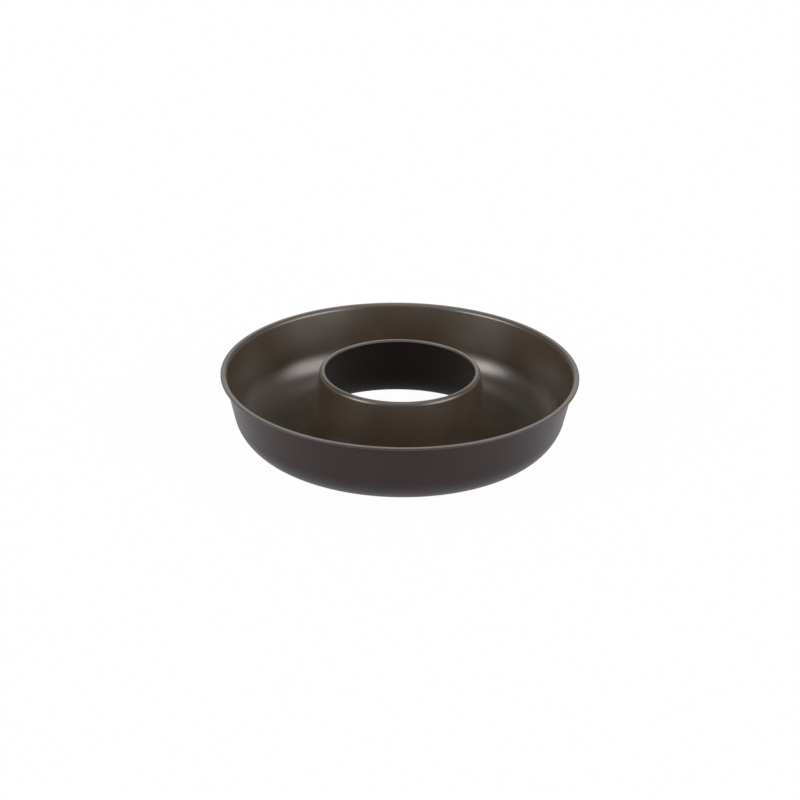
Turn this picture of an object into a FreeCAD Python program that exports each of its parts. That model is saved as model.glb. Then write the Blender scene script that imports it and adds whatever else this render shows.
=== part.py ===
"""Savarin mould: a ring-shaped trough with an open tube in the middle, for one small ring cake.

The mould is one disc of thin sheet, pierced and pressed, so it is one solid of constant thickness.
All sizes are in millimetres. Its axis is Z, and it stands on z = 0 with its mouth up.
The section is drawn once, as the line of the face that holds the food. It is then given its
thickness on the outside and turned round the axis.
"""
import FreeCAD, Part
import math
import os

# Overall sizes
rim_diameter = 80.0      # over the cut edge of the rim
hole_diameter = 33.6     # through the lip on top of the tube
height = 16.1            # from the ring that it stands on to the top of the rim
tube_rise = 0.35         # how far the lip on top of the tube stands above the rim
sheet = 0.5              # thickness of the coated sheet

# Slopes that let the cake slide out
wall_lean = 13.0         # degrees that the outer wall leans out from upright
tube_lean = 10.0         # degrees that the tube leans in from upright

# Rim, lip and foot
rim_flat = 0.65          # flat run of the rim, from its bend to its cut edge
rim_bend = 0.9           # radius of the upper face where the wall turns into the rim
lip_flat = 0.4           # flat run of the lip, from its bend to its cut edge
lip_bend = 0.9           # radius of the upper face where the tube turns into the lip
foot_width = 0.65        # flat ring between the two round sides of the trough
edge_round = 0.15        # rounding of the cut edges, where the coating runs over them


def half_turn(lean):
    """Half of the angle, in radians, between a level run and a run that leans from upright."""
    return math.radians(90.0 - lean) / 2.0


def bent_line(corners, bends):
    """Straight runs through the corners, with a tangent arc of its own radius at each inner one."""
    edges = []
    run_start = corners[0]
    for before, corner, after, bend in zip(corners, corners[1:], corners[2:], bends):
        into = (corner - before).normalize()
        out_of = (after - corner).normalize()
        turn = into.getAngle(out_of)
        inward = (out_of - into).normalize()
        setback = bend * math.tan(turn / 2.0)
        centre_distance = bend / math.cos(turn / 2.0)
        arc_start = corner - into * setback
        arc_middle = corner + inward * (centre_distance - bend)
        arc_end = corner + out_of * setback
        edges.append(Part.LineSegment(run_start, arc_start).toShape())
        edges.append(Part.Arc(arc_start, arc_middle, arc_end).toShape())
        run_start = arc_end
    edges.append(Part.LineSegment(run_start, corners[-1]).toShape())
    return Part.Wire(edges)


def food_face_line():
    """The line of the face that holds the food, from the rim's cut edge to the lip's cut edge."""
    rim_radius = rim_diameter / 2.0
    hole_radius = hole_diameter / 2.0
    mouth_radius = rim_radius - rim_flat - rim_bend * math.tan(half_turn(wall_lean))
    tube_top_radius = hole_radius + lip_flat + lip_bend * math.tan(half_turn(tube_lean))

    lip_height = height + tube_rise
    wall_foot_radius = mouth_radius - (height - sheet) * math.tan(math.radians(wall_lean))
    tube_foot_radius = tube_top_radius + (lip_height - sheet) * math.tan(math.radians(tube_lean))
    room_for_bends = wall_foot_radius - tube_foot_radius - foot_width
    trough_bend = room_for_bends / (math.tan(half_turn(wall_lean)) + math.tan(half_turn(tube_lean)))

    corners = [
        FreeCAD.Vector(rim_radius, 0.0, height),
        FreeCAD.Vector(mouth_radius, 0.0, height),
        FreeCAD.Vector(wall_foot_radius, 0.0, sheet),
        FreeCAD.Vector(tube_foot_radius, 0.0, sheet),
        FreeCAD.Vector(tube_top_radius, 0.0, lip_height),
        FreeCAD.Vector(hole_radius, 0.0, lip_height),
    ]
    return bent_line(corners, [rim_bend, trough_bend, trough_bend, lip_bend])


def is_cut_edge(edge):
    """Whether an edge is one of the circles that bound the two cut edges of the sheet."""
    if not isinstance(edge.Curve, Part.Circle):
        return False
    cut_radii = (rim_diameter / 2.0, hole_diameter / 2.0)
    return any(math.isclose(edge.Curve.Radius, radius) for radius in cut_radii)


def make_mould():
    """The pressed mould, with its cut edges rounded."""
    section = food_face_line().makeOffset2D(sheet, fill=True, openResult=True)
    pressed = section.revolve(FreeCAD.Vector(0.0, 0.0, 0.0), FreeCAD.Vector(0.0, 0.0, 1.0), 360.0)
    cut_edges = [edge for edge in pressed.Edges if is_cut_edge(edge)]
    return pressed.makeFillet(min(edge_round, sheet / 3.0), cut_edges)


os.makedirs("parts", exist_ok=True)
mould = make_mould()
mould.exportStep("parts/savarin_mould.step")
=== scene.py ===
# %% [markdown]
# # A savarin mould, built and photographed in Blender
#
# The object is a small ring-cake mould: a round trough with an open tube in its middle. A real one
# starts as a flat disc of thin steel that already carries its non-stick coating. A press draws it
# into shape, and the coating stays on both sides.
#
# The lesson draws the section of the sheet once, turns it round the axis, gives it the thickness
# of the sheet, and then spends its care on the coating and the light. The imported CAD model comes
# first, because the new piece has to stand exactly where the CAD part stands.

# %% Load the CAD part
import math

import bmesh
import bpy
from mathutils import Euler, Matrix, Vector


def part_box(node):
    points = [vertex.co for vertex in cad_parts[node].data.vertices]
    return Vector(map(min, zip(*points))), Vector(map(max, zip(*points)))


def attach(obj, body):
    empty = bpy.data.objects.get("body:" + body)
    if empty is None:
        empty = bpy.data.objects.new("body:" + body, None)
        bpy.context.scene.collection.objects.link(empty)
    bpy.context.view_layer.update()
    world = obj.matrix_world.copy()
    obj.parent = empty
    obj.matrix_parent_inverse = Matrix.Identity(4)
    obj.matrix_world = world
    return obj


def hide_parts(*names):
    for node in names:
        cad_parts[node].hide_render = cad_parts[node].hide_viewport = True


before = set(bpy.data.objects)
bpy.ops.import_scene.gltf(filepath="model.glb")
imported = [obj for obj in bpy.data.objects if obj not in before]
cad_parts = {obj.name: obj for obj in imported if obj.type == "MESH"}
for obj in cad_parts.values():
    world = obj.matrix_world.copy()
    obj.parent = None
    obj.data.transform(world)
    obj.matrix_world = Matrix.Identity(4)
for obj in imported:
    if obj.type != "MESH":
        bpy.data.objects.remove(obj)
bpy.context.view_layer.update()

MM = 0.001
node_low, node_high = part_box("savarin_mould")
print("CAD part from", tuple(node_low), "to", tuple(node_high))

# %% [markdown]
# ## The sheet's sizes
#
# The overall sizes are read from the CAD part, so the two can't drift apart. The others are the
# real sizes of the pressed sheet. The lip on top of the tube stands a little above the rim. The wall
# leans out and the tube leans in, so that the cake slides out. Every change of direction is a round
# bend, because the coating would crack at a sharp one.

# %% Sizes of the pressed sheet
rim_radius = node_high.x
lip_height = node_high.z
tube_rise = 0.35 * MM
rim_height = lip_height - tube_rise
hole_radius = 16.8 * MM
sheet = 0.5 * MM

wall_lean = math.radians(13.0)
tube_lean = math.radians(10.0)
rim_flat = 0.65 * MM
rim_bend = 0.9 * MM
lip_flat = 0.4 * MM
lip_bend = 0.9 * MM
foot_width = 0.65 * MM


def half_turn(lean):
    """Half of the angle between a level run and a run that leans from upright."""
    return (math.pi / 2 - lean) / 2


mouth_radius = rim_radius - rim_flat - rim_bend * math.tan(half_turn(wall_lean))
tube_top_radius = hole_radius + lip_flat + lip_bend * math.tan(half_turn(tube_lean))
wall_foot_radius = mouth_radius - (rim_height - sheet) * math.tan(wall_lean)
tube_foot_radius = tube_top_radius + (lip_height - sheet) * math.tan(tube_lean)
room_for_bends = wall_foot_radius - tube_foot_radius - foot_width
trough_bend = room_for_bends / (math.tan(half_turn(wall_lean)) + math.tan(half_turn(tube_lean)))
tube_foot_middle = tube_foot_radius + trough_bend * math.tan(half_turn(tube_lean))
print("round sides of the trough:", round(trough_bend / MM, 2), "mm in radius")

# %% [markdown]
# ## The section, drawn with one travelling vertex
#
# The face that holds the food is the one that matters, so that face is drawn and the sheet gets its
# thickness on the outside later. The section could be typed in as a list of points, or rounded
# with a bevel. Here a single vertex is dragged along it like a pen: extruded for a straight run,
# and spun about the centre of each bend, so that every arc is a true one and meets its straight
# runs without a corner. The two functions below are that pen.

# %% A pen that draws straight runs and round bends
section = bmesh.new()


def draw_run(tip, end):
    """Extrudes the pen's tip to a new point and returns the new tip."""
    new_tip = bmesh.ops.extrude_vert_indiv(section, verts=[tip])["verts"][0]
    new_tip.co = end
    return new_tip


def draw_bend(tip, corner, after, radius, steps):
    """A straight run to where the bend starts, and the bend, which leaves towards the next corner."""
    into = (corner - tip.co).normalized()
    out_of = (after - corner).normalized()
    turn = into.angle(out_of)
    arc_start = corner - into * radius * math.tan(turn / 2)
    to_centre = (out_of - into).normalized()
    centre = corner + to_centre * radius / math.cos(turn / 2)
    tip = draw_run(tip, arc_start)
    swept = bmesh.ops.spin(
        section,
        geom=[tip],
        cent=centre,
        axis=into.cross(out_of).normalized(),
        angle=turn,
        steps=steps,
        use_duplicate=False,
    )
    return swept["geom_last"][0]


# %% [markdown]
# ## From the rim to the lip
#
# The pen starts at the cut edge of the rim, goes down the wall, round the bottom of the trough and up
# the tube, and ends at the cut edge of the hole. The two large bends get the most steps, because the
# highlights lie in them and would show flat places.

# %% Draw the food side from the rim to the lip
corners = [
    Vector((mouth_radius, 0.0, rim_height)),
    Vector((wall_foot_radius, 0.0, sheet)),
    Vector((tube_foot_radius, 0.0, sheet)),
    Vector((tube_top_radius, 0.0, lip_height)),
]
lip_edge = Vector((hole_radius, 0.0, lip_height))
bends = [rim_bend, trough_bend, trough_bend, lip_bend]
bend_steps = [10, 28, 28, 12]

tip = section.verts.new((rim_radius, 0.0, rim_height))
for corner, after, radius, steps in zip(corners, corners[1:] + [lip_edge], bends, bend_steps):
    tip = draw_bend(tip, corner, after, radius, steps)
tip = draw_run(tip, lip_edge)
print("points on the section:", len(section.verts))

# %% [markdown]
# ## One turn round the axis
#
# A press makes a round part, so a full spin of the section is the natural tool. The last column
# of vertices is merged with the first, or a seam would show in the highlights. The normals are
# made to agree while the surface is still a single skin, and then turned so that they point to the
# food side. The faces of the tube get material slots of their own, so that the inside of the tube
# can carry a near-black coat that is painted shade, and the edge of the hole a paler coat that is a
# painted highlight.

# %% Spin the section into a ring
turn_steps = 288
bmesh.ops.spin(
    section,
    geom=section.verts[:] + section.edges[:],
    cent=(0.0, 0.0, 0.0),
    axis=(0.0, 0.0, 1.0),
    angle=math.tau,
    steps=turn_steps,
    use_merge=True,
    use_duplicate=False,
)
merge_distance = 0.001 * MM
bmesh.ops.remove_doubles(section, verts=section.verts[:], dist=merge_distance)
bmesh.ops.recalc_face_normals(section, faces=section.faces[:])
lowest_face = min(section.faces, key=lambda face: face.calc_center_median().z)
if lowest_face.normal.z < 0:
    bmesh.ops.reverse_faces(section, faces=section.faces[:])
first_tube_slot = 3
for face in section.faces:
    face.smooth = True
    if face.calc_center_median().xy.length < tube_foot_middle:
        face.material_index = first_tube_slot
open_edges = sum(edge.is_boundary for edge in section.edges)
print("faces of the skin:", len(section.faces), "open edges, all on the two cut edges:", open_edges)

# %% [markdown]
# ## A sheet with two sides and a cut edge
#
# Solidify gives the skin the same thickness everywhere, as a pressed sheet nearly has. It also
# hands out the materials, as steps from each face's own slot: the next slot for the outside and the
# one after it for the cut edge. So slots 0 to 2 dress the trough, and 3 to 5 the tube.
# A narrow Bevel then rounds the cut edges, where the coating runs over them. Real cut edges are
# never perfectly sharp, and that small rounding catches the light all along the rim.

# %% Make the piece and give the sheet its thickness
mould_mesh = bpy.data.meshes.new("pressed_mould")
section.to_mesh(mould_mesh)
section.free()
mould = bpy.data.objects.new("pressed_mould", mould_mesh)
bpy.context.scene.collection.objects.link(mould)

thickness = mould.modifiers.new("thickness of the sheet", "SOLIDIFY")
thickness.thickness = sheet
thickness.offset = -1.0
thickness.use_even_offset = True
thickness.material_offset = 1
thickness.material_offset_rim = 2

edge_round = 0.15 * MM
rounding = mould.modifiers.new("rounded cut edges", "BEVEL")
rounding.limit_method = "ANGLE"
rounding.angle_limit = math.radians(60.0)
rounding.width = edge_round
rounding.segments = 4
rounding.profile = 0.5
rounding.material = -1
rounding.harden_normals = True

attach(mould, "root")
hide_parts("savarin_mould")
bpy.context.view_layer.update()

# %% [markdown]
# ## Helpers for the finishes
#
# A material in Blender is a small graph. A few helpers keep its cells short: they add a node and set
# its sockets, or join two sockets. All patterns read Object coordinates, which are metres on the real
# part, so a pattern's scale is simply one over the size of its features.

# %% Helpers for material nodes
def add_node(tree, kind, **sockets):
    """A new node, with the named input sockets set. An underscore in a name stands for a space."""
    node = tree.nodes.new(kind)
    for name, value in sockets.items():
        node.inputs[name.replace("_", " ")].default_value = value
    return node


def add_maths(tree, operation, second=0.0):
    """A new maths node. Its second input is set here, unless something is joined to it later."""
    node = tree.nodes.new("ShaderNodeMath")
    node.operation = operation
    node.inputs[1].default_value = second
    return node


def add_range(tree, low, high, new_low=0.0, new_high=1.0):
    """A new node that turns values from low to high into values from new_low to new_high."""
    return add_node(
        tree,
        "ShaderNodeMapRange",
        From_Min=low,
        From_Max=high,
        To_Min=new_low,
        To_Max=new_high,
    )


def join(tree, source, output, target, socket):
    """Joins an output of one node to an input of another, each by its name or its number."""
    tree.links.new(source.outputs[output], target.inputs[socket])


def per_metre(feature_size):
    """The texture scale at which features have this real size."""
    return 1.0 / feature_size


# %% [markdown]
# ## The non-stick coating
#
# The coating is sprayed and baked. It is dark and warm, with a satin shine that comes from the
# coating itself and not from metal, so its highlights stay nearly grey. Three things keep it from
# looking like plastic in the computer: the wet spray dries with a faint orange-peel texture, the
# pigment clouds a little, and fine mineral flakes in it glint. The clouds are as large as a fingertip
# and the others far smaller, so they are noise patterns in real millimetres, not modelled shapes.

# %% A satin non-stick coat
cloud_size = 9.0 * MM
cloud_contrast = 0.14
cloud_low = 0.3
cloud_high = 0.7
flake_size = 0.11 * MM
flake_start = 0.93
flake_full = 0.98
flake_strength = 0.4
peel_size = 0.9 * MM
peel_height = 0.004 * MM
peel_strength = 0.5
shine_spread = 0.025


def make_coat(name, shade, flake_shade, shine_tint, roughness, refraction):
    """A sprayed and baked coat: clouded pigment, fine flakes and a faint orange peel."""
    coat = bpy.data.materials.new(name)
    coat.use_nodes = True
    tree = coat.node_tree
    shader = tree.nodes["Principled BSDF"]
    shader.inputs["IOR"].default_value = refraction
    shader.inputs["Specular Tint"].default_value = (*shine_tint, 1.0)
    shader.inputs["Metallic"].default_value = 0.0
    place = add_node(tree, "ShaderNodeTexCoord")

    clouds = add_node(tree, "ShaderNodeTexNoise", Scale=per_metre(cloud_size), Detail=3.0)
    cloud_shades = add_node(tree, "ShaderNodeValToRGB")
    darker = [channel * (1.0 - cloud_contrast) for channel in shade]
    lighter = [channel * (1.0 + cloud_contrast) for channel in shade]
    dark_end, light_end = cloud_shades.color_ramp.elements
    dark_end.position = cloud_low
    dark_end.color = (*darker, 1.0)
    light_end.position = cloud_high
    light_end.color = (*lighter, 1.0)
    join(tree, place, "Object", clouds, "Vector")
    join(tree, clouds, "Fac", cloud_shades, "Fac")

    flakes = add_node(tree, "ShaderNodeTexVoronoi", Scale=per_metre(flake_size))
    flake_share = add_range(tree, flake_start, flake_full, new_high=flake_strength)
    flaked = add_node(tree, "ShaderNodeMix")
    flaked.data_type = "RGBA"
    flaked.inputs["B"].default_value = (*flake_shade, 1.0)
    join(tree, place, "Object", flakes, "Vector")
    join(tree, flakes, "Color", flake_share, "Value")
    join(tree, flake_share, "Result", flaked, "Factor")
    join(tree, cloud_shades, "Color", flaked, "A")
    join(tree, flaked, "Result", shader, "Base Color")

    gloss = add_range(tree, cloud_low, cloud_high, roughness - shine_spread, roughness + shine_spread)
    join(tree, clouds, "Fac", gloss, "Value")
    join(tree, gloss, "Result", shader, "Roughness")

    peel = add_node(tree, "ShaderNodeTexNoise", Scale=per_metre(peel_size), Detail=4.0, Roughness=0.45)
    peel_relief = add_node(tree, "ShaderNodeBump", Strength=peel_strength, Distance=peel_height)
    join(tree, place, "Object", peel, "Vector")
    join(tree, peel, "Fac", peel_relief, "Height")
    join(tree, peel_relief, "Normal", shader, "Normal")
    return coat


# %% [markdown]
# ## One coat for each side
#
# The food side has the thickest coat, brown and warm, with the clearest shine. The outside is thinner
# and slightly purple. The inside of the tube gets a nearly black, dull coat: its darkness is painted
# shade, for the shade inside the narrow tube. The rim's cut edge looks like the outside. The edge
# round the hole gets a paler coat, which is a painted highlight for the light its rounding would
# catch. A higher refraction number gives more shine when it is looked at straight on.

# %% Coats for the two sides, the tube and the cut edges
warm_shine = (1.0, 0.955, 0.925)
cool_shine = (0.97, 0.93, 1.0)
food_side = make_coat(
    "food_side_coat",
    shade=(0.044, 0.0295, 0.0175),
    flake_shade=(0.09, 0.07, 0.05),
    shine_tint=warm_shine,
    roughness=0.305,
    refraction=1.84,
)
outside = make_coat(
    "outside_coat",
    shade=(0.0185, 0.0078, 0.0076),
    flake_shade=(0.06, 0.05, 0.05),
    shine_tint=cool_shine,
    roughness=0.34,
    refraction=1.42,
)
# Painted shade: this near-black colour stands in for the shade inside the narrow tube.
painted_shade_tube_inside = make_coat(
    "painted_shade_tube_inside_coat",
    shade=(0.010, 0.0062, 0.0055),
    flake_shade=(0.04, 0.03, 0.03),
    shine_tint=warm_shine,
    roughness=0.50,
    refraction=1.20,
)
rim_edge = make_coat(
    "rim_edge_coat",
    shade=(0.032, 0.020, 0.019),
    flake_shade=(0.10, 0.09, 0.09),
    shine_tint=cool_shine,
    roughness=0.30,
    refraction=1.60,
)
# Painted highlight: this paler colour stands in for the light caught by the rounded edge of the hole.
painted_highlight_hole_edge = make_coat(
    "painted_highlight_hole_edge_coat",
    shade=(0.105, 0.085, 0.070),
    flake_shade=(0.20, 0.18, 0.16),
    shine_tint=warm_shine,
    roughness=0.30,
    refraction=1.70,
)
for coat in (food_side, outside, rim_edge, food_side, painted_shade_tube_inside, painted_highlight_hole_edge):
    mould_mesh.materials.append(coat)
print("materials on the mould:", [coat.name for coat in mould_mesh.materials])

# %% [markdown]
# ## Floor and surroundings
#
# The mould stands on a plain white floor, wide enough to fill the picture. The photograph's floor is
# pure white, and more light on it would burn the mould out. So the material itself gives nearly all
# of the white that the camera sees, and about half of what reflections see. The rest is real shading,
# which keeps a trace of the mould's shadow.

# %% White floor
floor_span = 8.0
floor_drop = 0.02 * MM
floor_build = bmesh.new()
bmesh.ops.create_grid(floor_build, x_segments=1, y_segments=1, size=floor_span / 2)
bmesh.ops.translate(floor_build, verts=floor_build.verts[:], vec=(0.0, 0.0, -floor_drop))
floor_mesh = bpy.data.meshes.new("floor")
floor_build.to_mesh(floor_mesh)
floor_build.free()
floor = bpy.data.objects.new("floor", floor_mesh)
bpy.context.scene.collection.objects.link(floor)

paper = bpy.data.materials.new("white_paper")
paper.use_nodes = True
tree = paper.node_tree
tree.nodes.remove(tree.nodes["Principled BSDF"])
white = (1.0, 1.0, 1.0, 1.0)
paper_colour = (0.75, 0.75, 0.75, 1.0)
white_to_camera = 0.98
white_to_gloss = 0.5
lit_paper = add_node(tree, "ShaderNodeBsdfDiffuse", Color=paper_colour)
plain_white = add_node(tree, "ShaderNodeEmission", Color=white, Strength=1.0)
rays = add_node(tree, "ShaderNodeLightPath")
to_camera = add_maths(tree, "MULTIPLY", white_to_camera)
through_or_off = add_maths(tree, "MAXIMUM")
to_gloss = add_maths(tree, "MULTIPLY", white_to_gloss)
white_share = add_maths(tree, "MAXIMUM")
floor_mix = add_node(tree, "ShaderNodeMixShader")
join(tree, rays, "Is Camera Ray", to_camera, 0)
join(tree, rays, "Is Glossy Ray", through_or_off, 0)
join(tree, rays, "Is Transmission Ray", through_or_off, 1)
join(tree, through_or_off, "Value", to_gloss, 0)
join(tree, to_camera, "Value", white_share, 0)
join(tree, to_gloss, "Value", white_share, 1)
join(tree, white_share, "Value", floor_mix, "Fac")
join(tree, lit_paper, "BSDF", floor_mix, 1)
join(tree, plain_white, "Emission", floor_mix, 2)
join(tree, floor_mix, "Shader", tree.nodes["Material Output"], "Surface")
floor_mesh.materials.append(paper)
print("share of plain white: camera", white_to_camera, "and reflections", white_to_gloss)

# %% [markdown]
# ## The room
#
# A coat this dark shows the room more than its own colour. The room is dim, and its light falls off
# smoothly to about half on the way up from the horizon. So the coat keeps its brown, and no stray
# edge shows in it.

# %% Dim room round it
world = bpy.data.worlds.new("studio")
world.use_nodes = True
bpy.context.scene.world = world
tree = world.node_tree
tree.nodes["Background"].inputs["Color"].default_value = white

wall_light = 0.4
ceiling_light = 0.22
wall_top = 0.2
ceiling_edge = 0.5
direction = add_node(tree, "ShaderNodeTexCoord")
split = add_node(tree, "ShaderNodeSeparateXYZ")
room = add_range(tree, wall_top, ceiling_edge, wall_light, ceiling_light)
room.interpolation_type = "SMOOTHSTEP"
join(tree, direction, "Generated", split, "Vector")
join(tree, split, "Z", room, "Value")
print("light of the room, from the horizon to overhead:", wall_light, ceiling_light)

# %% [markdown]
# ## The soft lights
#
# The bright patches on the trough, left and right of the tube, are mirror images of two soft lights
# that stand in front at the sides, 31 degrees above the table. Following the reflection from the
# camera to the curved sheet and on gives their directions. A light overhead fills the trough, and a
# weak one behind draws the bright line along the rim. Two weaker ones widen the light on the right,
# to the front and to the back. Area lamps would do, but their hard edges would show in a satin coat.
# So each light is a round glow in the world, bright in its core and fading out, like a lamp behind
# a diffusing cloth.

# %% Soft glows in the world
def add_glow(light_so_far, azimuth, elevation, core, reach, brightness):
    """Adds a glow, full inside the core angle and gone at the reach, all in degrees.

    Azimuth 0 is the camera's side and 90 is its right.
    """
    around = math.radians(azimuth)
    up = math.radians(elevation)
    nearness = add_node(tree, "ShaderNodeVectorMath")
    nearness.operation = "DOT_PRODUCT"
    nearness.inputs[1].default_value = (
        math.sin(around) * math.cos(up),
        -math.cos(around) * math.cos(up),
        math.sin(up),
    )
    outer = math.cos(math.radians(reach))
    inner = math.cos(math.radians(core))
    glow = add_range(tree, outer, inner, new_high=brightness)
    glow.interpolation_type = "SMOOTHSTEP"
    total = add_maths(tree, "ADD")
    join(tree, direction, "Generated", nearness, 0)
    join(tree, nearness, "Value", glow, "Value")
    join(tree, light_so_far, 0, total, 0)
    join(tree, glow, "Result", total, 1)
    return total


glows = {
    "left": dict(azimuth=-62.0, elevation=31.0, core=7.0, reach=23.0, brightness=6.6),
    "right": dict(azimuth=68.0, elevation=31.0, core=12.0, reach=27.0, brightness=3.9),
    "right, front": dict(azimuth=47.0, elevation=22.0, core=6.0, reach=20.0, brightness=1.6),
    "above": dict(azimuth=180.0, elevation=84.0, core=14.0, reach=38.0, brightness=1.12),
    "right, behind": dict(azimuth=120.0, elevation=36.0, core=6.0, reach=26.0, brightness=0.15),
    "behind": dict(azimuth=180.0, elevation=19.0, core=8.0, reach=22.0, brightness=0.9),
}
light = room
for shape in glows.values():
    light = add_glow(light, **shape)
join(tree, light, 0, tree.nodes["Background"], "Strength")
print("soft lights:", list(glows))

# %% [markdown]
# ## The camera
#
# The camera stands 16 rim radii away and 24 degrees above the table. Its lens and its small lean
# come from the ellipses of the rim and the hole in the photograph. It looks a little below the rim,
# so that the mould sits where it does in the picture.

# %% Camera
camera_distance = 16.0 * rim_radius
camera_elevation = math.radians(24.06)
camera_lean = 0.0145
focal_pixels = 2868.0
picture_pixels = 800.0
rim_above_middle = 28.4

camera_data = bpy.data.cameras.new("camera")
camera_data.sensor_width = 36.0
camera_data.lens = focal_pixels / picture_pixels * camera_data.sensor_width
camera = bpy.data.objects.new("camera", camera_data)
bpy.context.scene.collection.objects.link(camera)
bpy.context.scene.camera = camera

rim_middle = Vector((0.0, 0.0, rim_height))
away = Vector((0.0, -math.cos(camera_elevation), math.sin(camera_elevation)))
look = Euler((math.pi / 2 - camera_elevation, 0.0, 0.0)).to_matrix().to_4x4()
lean = Matrix.Rotation(camera_lean, 4, "Z")
dip = Matrix.Rotation(-math.atan(rim_above_middle / focal_pixels), 4, "X")
camera.matrix_world = Matrix.Translation(rim_middle + away * camera_distance) @ look @ lean @ dip
print("lens:", round(camera_data.lens, 2), "mm; camera at", tuple(camera.matrix_world.translation))

# %% [markdown]
#
# The Standard view shows colours as they are written.

# %% Finish
bpy.context.scene.view_settings.view_transform = "Standard"
